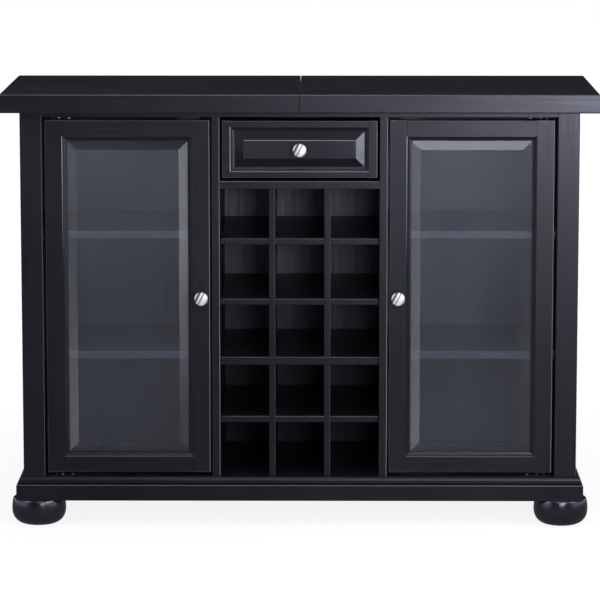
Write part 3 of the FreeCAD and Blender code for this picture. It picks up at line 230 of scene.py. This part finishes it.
class Graph:
    """A short way to write a node tree, whose methods take sockets and plain values alike."""

    def __init__(self, tree):
        self.tree = tree
        self.tree.nodes.clear()

    def node(self, kind, inputs, **settings):
        """Add a node with its settings made and its inputs filled or linked."""
        made = self.tree.nodes.new(kind)
        for name, value in settings.items():
            setattr(made, name, value)
        for name, value in inputs.items():
            if isinstance(value, bpy.types.NodeSocket):
                self.tree.links.new(value, made.inputs[name])
            else:
                made.inputs[name].default_value = value
        return made

    def math(self, operation, a, b=0.0):
        return self.node("ShaderNodeMath", {0: a, 1: b}, operation=operation).outputs[0]

    def times(self, a, b):
        return self.math("MULTIPLY", a, b)

    def absolute(self, value):
        return self.math("ABSOLUTE", value)

    def vector(self, operation, a, b):
        return self.node("ShaderNodeVectorMath", {0: a, 1: b}, operation=operation).outputs

    def split(self, vector):
        """The x, y and z of a vector."""
        return self.node("ShaderNodeSeparateXYZ", {0: vector}).outputs

    def mix(self, factor, a, b):
        """Between two colours."""
        return self.node("ShaderNodeMix", {0: factor, 6: a, 7: b}, data_type="RGBA").outputs[2]

    def blend(self, factor, a, b):
        """Between two numbers."""
        return self.node("ShaderNodeMix", {0: factor, 2: a, 3: b}).outputs[0]

    def span(self, value, low, high, to_low=0.0, to_high=1.0):
        """Carry a value between low and high, and held there, over to other limits."""
        return self.node("ShaderNodeMapRange", {0: value, 1: low, 2: high, 3: to_low, 4: to_high}).outputs[0]

    def spread(self, noise, low=0.0, high=1.0):
        """Carry a noise's usual levels over to other limits."""
        return self.span(noise, *NOISE_LEVELS, low, high)

    def noise(self, place, scale, detail, rough, distort=0.0):
        return self.node("ShaderNodeTexNoise", {"Vector": place, "Scale": scale, "Detail": detail,
                                                "Roughness": rough, "Distortion": distort}).outputs[0]

    def stretched(self, place, scales, *character):
        """Noise with its own scale along each axis."""
        return self.noise(self.vector("MULTIPLY", place, scales)[0], 1.0, *character)

    def grain(self, place, axis, scales, *character):
        """Noise drawn out along one axis."""
        along, across = scales
        return self.stretched(place, tuple(along if name == axis else across for name in "xyz"), *character)

    def arris(self, normal):
        """Wear and a painted highlight where the surface turns from one face to the next, stronger where it
        faces right and up, and nought on the faces.
        """
        lean = self.split(normal)
        parts = self.split(self.node("ShaderNodeVectorMath", {0: normal}, operation="ABSOLUTE").outputs[0])
        most = self.math("MAXIMUM", self.math("MAXIMUM", parts[0], parts[1]), parts[2])
        highlight_lean = self.span(self.math("ADD", lean[0], lean[2]), *ARRIS_HIGHLIGHT_LEAN)
        return self.times(self.span(most, *ARRIS), highlight_lean)

    def outside(self, place, edges):
        """Depth behind a rectangle, offsets from its middle, and how far outside its sides and its ends."""
        (x0, z0), (x1, z1), front = edges
        split = self.split(place)
        depth = self.math("SUBTRACT", split[1], front)
        across = self.math("SUBTRACT", split[0], (x0 + x1) / 2)
        rise = self.math("SUBTRACT", split[2], (z0 + z1) / 2)
        beside = self.math("SUBTRACT", self.absolute(across), (x1 - x0) / 2)
        above = self.math("SUBTRACT", self.absolute(rise), (z1 - z0) / 2)
        return depth, across, rise, beside, above

    def rim(self, place, edges, weights, fade=0.0):
        """A line of painted highlight along a rectangle on the front, with a weight for its left, right,
        lower and upper side.

        Where fade gives a share of its height, the lines at its left and right fade out over it from the top.
        """
        depth, across, rise, beside, above = self.outside(place, edges)
        away = self.absolute(self.math("MAXIMUM", beside, above))
        line = self.times(self.span(away, RIM_WIDTH / 2, RIM_WIDTH / 2 * RIM_FULL),
                          self.span(depth, RIM_DEPTH, RIM_DEPTH * RIM_FULL))
        left, right, lower, upper = weights
        side = self.blend(self.math("GREATER_THAN", across, 0.0), left, right)
        if fade:
            tall = edges[1][1] - edges[0][1]
            side = self.times(side, self.span(rise, tall * (0.5 - fade), tall / 2))
        level = self.blend(self.math("GREATER_THAN", rise, 0.0), lower, upper)
        return self.times(line, self.blend(self.math("GREATER_THAN", beside, above), level, side))

    def ramp(self, value, levels, tint=(1.0, 1.0, 1.0)):
        """A colour ramp of grey levels, each with its place, under one tint."""
        made = self.node("ShaderNodeValToRGB", {0: value})
        stops = made.color_ramp.elements
        for number, (at, level) in enumerate(levels):
            stop = stops[number] if number < 2 else stops.new(at)
            stop.position = at
            stop.color = (*(level * part for part in tint), 1)
        return made.outputs[0]

    def bump(self, height, depth, **below):
        """Relief of a texture, over that of another when it is given as Normal."""
        return self.node("ShaderNodeBump", {"Height": height, "Distance": depth, **below}).outputs[0]

    def principled(self, inputs):
        return self.node("ShaderNodeBsdfPrincipled", inputs).outputs[0]

    def mix_shaders(self, factor, a, b):
        return self.node("ShaderNodeMixShader", {0: factor, 1: a, 2: b}).outputs[0]

    def surface(self, shader):
        self.node("ShaderNodeOutputMaterial", {"Surface": shader})


def new_material(name):
    """A material, the graph of its nodes, and each node's own coordinates and normal."""
    material = bpy.data.materials.new(name)
    material.use_nodes = True
    graph = Graph(material.node_tree)
    texture = graph.node("ShaderNodeTexCoord", {}).outputs
    return material, graph, texture["Object"], texture["Normal"]


def darker(colour, share):
    return tuple(part * share for part in colour[:3]) + (1,)


def lacquer(name, axis, colours=LACQUER, gloss=0.34, wear_and_highlight=1.0, ior=1.5, rims=(), field=None, upper=0.0):
    """Satin black lacquer over close-grained wood whose grain runs along an axis.

    Its arrises carry wear and a painted highlight, and each of rims is a further line of wear and painted
    highlight. Round the rectangle field it shows a slope with painted light above the middle, and what faces
    up is rougher by upper.
    """
    material, g, place, normal = new_material(name)
    pores = g.grain(place, axis, *PORES)
    figure = g.grain(place, axis, *FIGURE)
    brushed = g.grain(place, axis, *BRUSHING)
    cloud = g.noise(place, *CLOUD)
    tone = g.blend(CLOUD_SHARE, g.blend(BRUSHED_SHARE, figure, brushed), cloud)
    colour = g.mix(g.span(tone, *TONE_LEVELS), *colours)
    rough = g.spread(cloud, *(gloss + shift for shift in CLOUD_ROUGH))
    rough = g.math("ADD", rough, g.spread(pores, *PORE_ROUGH))
    rough = g.math("ADD", rough, g.spread(brushed, gloss * -BRUSHED_ROUGH, gloss * BRUSHED_ROUGH))
    if upper:
        rough = g.math("ADD", rough, g.span(g.split(normal)[2], *FACING_UP, 0.0, upper))
    # The raised field's upper slopes get painted light, and its lower slopes keep the plain dark lacquer
    if field is not None:
        rise, beside, above = g.outside(place, field)[2:]
        slope = g.mix(g.span(rise, *SLOPE_TURN), LACQUER[0], LACQUER_SLOPE_PAINTED_LIGHT)
        colour = g.mix(g.span(g.math("MAXIMUM", beside, above), *FIELD_EDGE), colour, slope)
    # Arrises and rims are lightened towards a pale grey: wear and painted highlight
    marks_and_painted_light = g.times(g.arris(normal), wear_and_highlight)
    for rim in rims:
        marks_and_painted_light = g.math("MAXIMUM", marks_and_painted_light, g.rim(place, *rim))
    colour = g.mix(g.times(marks_and_painted_light, g.span(figure, *WEAR_AND_HIGHLIGHT_BY_FIGURE)), colour, LACQUER_WEAR_AND_HIGHLIGHT)
    relief = g.bump(g.noise(place, *RIPPLE), RIPPLE_DEPTH, Normal=g.bump(pores, PORE_DEPTH))
    g.surface(g.principled({"Base Color": colour, "Roughness": rough, "Normal": relief,
                            "Specular Tint": LACQUER_TINT, "IOR": ior}))
    return material


def stained_board_with_painted_light(name):
    """Thin stained board, with painted light where the rack shows it, falling off as painted shade towards
    the floor.
    """
    material, g, place, normal = new_material(name)
    pores = g.grain(place, "z", *BOARD_PORES)
    figure = g.grain(place, "z", *BOARD_FIGURE)
    colour = g.mix(g.span(figure, *TONE_LEVELS), *BOARD_STAIN_AND_PAINTED_LIGHT)
    split = g.split(place)
    # Painted light and shade: the rack's back is lightened, more with height and to the left, and the rest of
    # the board keeps a plain share of the stain
    rack = g.times(g.span(g.split(normal)[1], *BOARD_FRONT), g.span(g.absolute(split[0]), *RACK_HALF))
    lit = g.times(g.span(split[2], *PAINTED_LIGHT_BY_HEIGHT), g.span(split[0], *PAINTED_LIGHT_ACROSS))
    shade = g.blend(rack, BOARD_WITHOUT_PAINTED_LIGHT, lit)
    streaks = g.blend(rack, 1.0, g.spread(pores, *BOARD_STREAKS))
    tone = g.node("ShaderNodeVectorMath", {0: colour, 3: g.times(shade, streaks)}, operation="SCALE")
    g.surface(g.principled({"Base Color": tone.outputs[0], "Roughness": g.spread(pores, *BOARD_ROUGH),
                            "Specular Tint": LACQUER_TINT, "Normal": g.bump(pores, BOARD_DEPTH)}))
    return material


def glass(name):
    """Bevelled plate glass that lets the lamps through, with a faint veil, mostly on its side bevels, that is
    partly the glass's own dullness and partly painted reflection.
    """
    material, g, place, normal = new_material(name)
    smears = g.grain(place, "z", *GLASS_SMEARS)
    pane = g.principled({
        "Base Color": GLASS_TINT, "Roughness": g.span(smears, *GLASS_ROUGH), "IOR": GLASS_IOR,
        "Transmission Weight": 1.0, "Specular Tint": GLASS_SPECULAR,
        "Normal": g.bump(g.noise(place, *GLASS_WAVES), WAVE_DEPTH)})
    lean = g.split(normal)
    aside = g.absolute(lean[0])
    bevel = g.times(g.span(aside, *BEVEL_LEAN), g.span(aside, *BEVEL_LEAN_MOST))
    across, _, height = g.split(place)
    # A veil that grows with height and is left off surfaces facing up: partly dullness of the glass, partly
    # painted reflection
    film_and_painted_reflection = g.times(g.span(height, *FILM_AND_REFLECTION_BY_HEIGHT), g.spread(smears, *FILM_SMEARS))
    film_and_painted_reflection = g.times(film_and_painted_reflection, g.span(lean[2], *FILM_LEAN))
    # On the side bevels, painted reflection whose level is listed by place across the doors and by height
    below, above = (g.ramp(g.span(across, *HAZE_AND_REFLECTION_ACROSS), levels) for levels in (HAZE_AND_REFLECTION_BELOW, HAZE_AND_REFLECTION_ABOVE))
    lines = g.spread(g.grain(place, "z", *GLASS_LINES), *BEVEL_LINES)
    marks_and_painted_light = g.times(g.blend(g.span(height, *HAZE_AND_REFLECTION_HEIGHT), below, above), lines)
    veil_and_painted_reflection = g.math("ADD", film_and_painted_reflection, g.times(bevel, marks_and_painted_light))
    frost_and_painted_reflection = g.node("ShaderNodeBsdfDiffuse", {"Color": g.mix(bevel, FILM_AND_REFLECTION_TINT, BEVEL_TINT)}).outputs[0]
    path = g.node("ShaderNodeLightPath", {}).outputs
    clear = g.node("ShaderNodeBsdfTransparent", {"Color": GLASS_TINT}).outputs[0]
    light = g.math("MAXIMUM", path["Is Shadow Ray"], path["Is Diffuse Ray"])
    g.surface(g.mix_shaders(light, g.mix_shaders(veil_and_painted_reflection, pane, frost_and_painted_reflection), clear))
    return material


def metal(name, colour, rough, bush=None):
    """Plated metal with fine lines along y, and its bushes brighter at the doors' upper pivots."""
    material, g, place, _ = new_material(name)
    lines = g.grain(place, "y", *METAL_LINES)
    paint = g.mix(g.spread(g.noise(place, *METAL_CLOUD)), darker(colour, METAL_DARKER), colour)
    if bush is not None:
        split = g.split(place)
        level = g.node("ShaderNodeCombineXYZ", {0: g.absolute(split[0]), 1: split[1]}).outputs[0]
        reach = g.vector("DISTANCE", level, PIVOT)[1]
        near = g.times(g.span(reach, BUSH_RADIUS, BUSH_RADIUS - BUSH_EDGE), g.span(split[2], *BUSH_HEIGHT))
        paint = g.mix(near, paint, bush)
    g.surface(g.principled({"Base Color": paint, "Metallic": 1.0,
                            "Roughness": g.spread(lines, *(rough + shift for shift in METAL_ROUGH)),
                            "Normal": g.bump(lines, LINE_DEPTH)}))
    return material


def knob_metal(name, centre):
    """Polished nickel with fine drawn lines, whose colour carries streaks of painted reflection across the
    knob's face.
    """
    material, g, place, _ = new_material(name)
    local = g.vector("SUBTRACT", place, centre)[0]
    turn = g.node("ShaderNodeVectorRotate", {0: local, "Angle": PAINTED_STREAK_ANGLE}, rotation_type="Y_AXIS")
    turned = turn.outputs[0]
    fine = g.stretched(turned, *KNOB_LINES)
    warped = g.math("ADD", g.split(turned)[0], g.span(fine, *KNOB_WARP))
    # Streaks of painted reflection: light and dark bands set into the base colour
    streaks = g.ramp(g.span(warped, -KNOB_RADIUS, KNOB_RADIUS), PAINTED_REFLECTION_STREAKS, KNOB_TINT)
    g.surface(g.principled({"Base Color": streaks, "Metallic": KNOB_METALLIC,
                            "Roughness": g.spread(fine, *KNOB_ROUGH), "Normal": g.bump(fine, LINE_DEPTH)}))
    return material


def plastic(name, colour):
    """Matt moulded plastic."""
    material, g, place, _ = new_material(name)
    speckle = g.noise(place, *PLASTIC_SPECKLE)
    g.surface(g.principled({"Base Color": g.mix(g.spread(speckle), darker(colour, PLASTIC_DARKER), colour),
                            "Roughness": PLASTIC_ROUGH, "Normal": g.bump(speckle, SPECKLE_DEPTH)}))
    return material


def dress(material, *nodes):
    """Give nodes a material in place of what they have."""
    for node in nodes:
        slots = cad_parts[node].data.materials
        slots.clear()
        slots.append(material)


def inset(node, across, up):
    """The rectangle that a node shows from the front, drawn in by these widths, and its front's y."""
    low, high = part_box(node)
    return (low[0] + across, low[2] + up), (high[0] - across, high[2] - up), low[1]


def framed(name, axis, node, widths, weights, fade=0.0):
    """Lacquer for a stile-and-rail front, with lines of wear and painted highlight along its moulding's edge
    and its outer edge.
    """
    return lacquer(name + "_" + axis, axis, wear_and_highlight=0.0,
                   rims=((inset(node, *widths), weights, fade), (inset(node, EDGE, EDGE), RIM_FRONT)))


def make_materials():
    """Finish the nodes, all in upright lacquer first."""
    dress(lacquer("black_lacquer_z", "z"), *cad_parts)
    dress(lacquer("black_lacquer_x", "x"), *RUN_X)
    dress(lacquer("black_lacquer_y", "y"), *RUN_Y)
    dress(lacquer("turned_lacquer", "z", gloss=0.21, wear_and_highlight=0.0, ior=1.85), *FEET)
    dress(lacquer("nosing_lacquer", "x", wear_and_highlight=0.0), "bottom_panel")
    # The leaves take a darker copy of the lacquer as painted shade, and the shelves and the drawer's panel
    # take lighter copies as painted light
    dress(lacquer("leaf_lacquer", "x", LACQUER_LEAF_PAINTED_SHADE, ior=1.57, upper=0.2), *LEAVES)
    dress(lacquer("shelf_lacquer", "x", LACQUER_SHELF_PAINTED_LIGHT), *SHELVES)
    # The raised panel, the partitions, the drawer shelf and the framed fronts get rims: lines of painted
    # highlight with some wear
    raised = inset("drawer_raised_panel", PANEL_SLOPES, PANEL_SLOPES)
    dress(lacquer("panel_lacquer", "x", LACQUER_PANEL_PAINTED_LIGHT, gloss=0.11, wear_and_highlight=0.0, rims=((raised, RIM_PANEL),),
                  field=raised), "drawer_raised_panel")
    for node in ("partition_left", "partition_right"):
        dress(lacquer(node + "_lacquer", "z", rims=((inset(node, EDGE, EDGE), RIM_PARTITION),)), node)
    dress(lacquer("drawer_shelf_lacquer", "x", rims=((inset("drawer_shelf", 0, EDGE), RIM_SHELF),)),
          "drawer_shelf")
    dress(framed("drawer_lacquer", "x", "drawer_front_frame", DRAWER_FRAME, RIM_DRAWER), "drawer_front_frame")
    for door in ("door_left", "door_right"):
        for part, axis in (("_stiles", "z"), ("_rails", "x")):
            dress(framed(door + "_lacquer", axis, door + "_stiles", DOOR_FRAME, RIM_DOOR, DOOR_FADE),
                  door + part)
    dress(stained_board_with_painted_light("back_board_with_painted_light"), "back_panel")
    dress(glass("door_glass"), *PANES)
    for knob, centre in KNOBS.items():
        dress(knob_metal("nickel_" + knob, centre), knob)
    dress(metal("zinc_steel", ZINC, rough=0.3), *ZINC_PARTS)
    dress(metal("black_zinc", BLACK_ZINC, rough=0.45), *DRAWER_SLIDES)
    dress(metal("plate_steel_painted_shade", PLATES_PAINTED_SHADE, rough=0.5, bush=BUSH_BRIGHT), *PLATES)
    dress(plastic("catch_plastic", PLASTIC), "door_catches")


def make_world():
    """White where the camera looks past the object, and a plain studio for light and gloss."""
    world = bpy.data.worlds.new("studio")
    world.use_nodes = True
    bpy.context.scene.world = world
    g = Graph(world.node_tree)
    path = g.node("ShaderNodeLightPath", {}).outputs
    across, back, up = g.split(g.node("ShaderNodeTexCoord", {}).outputs["Generated"])
    behind = g.span(back, *TO_REAR)
    aside = g.absolute(across)
    side = g.blend(behind, g.span(aside, *TO_SIDE_IN_FRONT), g.span(aside, *TO_SIDE_BEHIND))
    gloss = g.blend(side, g.blend(g.span(up, *TO_HIGH), WORLD_LOW, WORLD_HIGH), WORLD_SIDE)
    seen = g.math("MAXIMUM", path["Is Camera Ray"], path["Is Transmission Ray"])
    level = g.blend(seen, g.blend(path["Is Glossy Ray"], WORLD_DIFFUSE, gloss), 1.0)
    sky = g.node("ShaderNodeBackground", {"Color": g.mix(seen, WORLD_TINT, WHITE), "Strength": level})
    g.node("ShaderNodeOutputWorld", {"Surface": sky.outputs[0]})


def softbox(name, azimuth, elevation, reach, side, light):
    """A square lamp that faces the cabinet, with the light that it gives there."""
    turn, rise = math.radians(azimuth), math.radians(elevation)
    way = Vector((math.sin(turn) * math.cos(rise), -math.cos(turn) * math.cos(rise), math.sin(rise)))
    data = bpy.data.lights.new(name, "AREA")
    data.size = side
    data.energy = light * math.pi * reach ** 2
    lamp = bpy.data.objects.new(name, data)
    bpy.context.scene.collection.objects.link(lamp)
    lamp.location = Vector(LAMP_TARGET) + way * reach
    lamp.rotation_euler = way.to_track_quat("Z", "Y").to_euler()
    lamp.visible_camera = False


def make_floor():
    """A pale floor that shows white and keeps the object's shadow, and that is darker near the cabinet where
    seen through glass, a painted shade.
    """
    mesh = bpy.data.meshes.new("floor")
    corners = ((-1, -1), (1, -1), (1, 1), (-1, 1))
    mesh.from_pydata([(x * FLOOR_HALF, y * FLOOR_HALF, 0) for x, y in corners], [], [(0, 1, 2, 3)])
    floor = bpy.data.objects.new("floor", mesh)
    bpy.context.scene.collection.objects.link(floor)
    material, g, place, _ = new_material("pale_floor")
    paint = g.mix(g.spread(g.noise(place, *FLOOR_CLOUD)), *FLOOR_PAINT)
    matt = g.principled({"Base Color": paint, "Roughness": FLOOR_ROUGH, "Specular IOR Level": FLOOR_SPECULAR})
    path = g.node("ShaderNodeLightPath", {}).outputs
    reach = g.node("ShaderNodeVectorMath", {0: place}, operation="LENGTH").outputs[1]
    # Painted shade: through glass the floor is darker near the cabinet
    through = g.span(reach, *THROUGH_REACH, *FLOOR_THROUGH)
    own = g.span(reach, *OWN_REACH, FLOOR_OWN / (1.0 - FLOOR_LIT), 1.0 / (1.0 - FLOOR_LIT))
    level = g.blend(path["Is Glossy Ray"], g.blend(path["Is Transmission Ray"], own, through), FLOOR_GLOSS)
    white = g.node("ShaderNodeEmission", {"Color": WHITE, "Strength": level}).outputs[0]
    seen = g.math("MAXIMUM", path["Is Camera Ray"], path["Is Transmission Ray"])
    share = g.blend(path["Is Glossy Ray"], g.times(seen, 1.0 - FLOOR_LIT), 1.0)
    g.surface(g.mix_shaders(share, matt, white))
    mesh.materials.append(material)


def make_camera():
    data = bpy.data.cameras.new("camera")
    data.sensor_width = SENSOR
    data.lens = FOCAL_PIXELS / IMAGE_SIDE * SENSOR
    data.clip_end = CAMERA_CLIP
    camera = bpy.data.objects.new("camera", data)
    bpy.context.scene.collection.objects.link(camera)
    camera.location = CAMERA_PLACE
    camera.rotation_euler = (math.pi / 2 - CAMERA_PITCH, 0, CAMERA_YAW)
    bpy.context.scene.camera = camera


make_camera()
make_materials()
make_world()
make_floor()
for lamp in LAMPS:
    softbox(*lamp)
bpy.context.scene.view_settings.view_transform = "Standard"
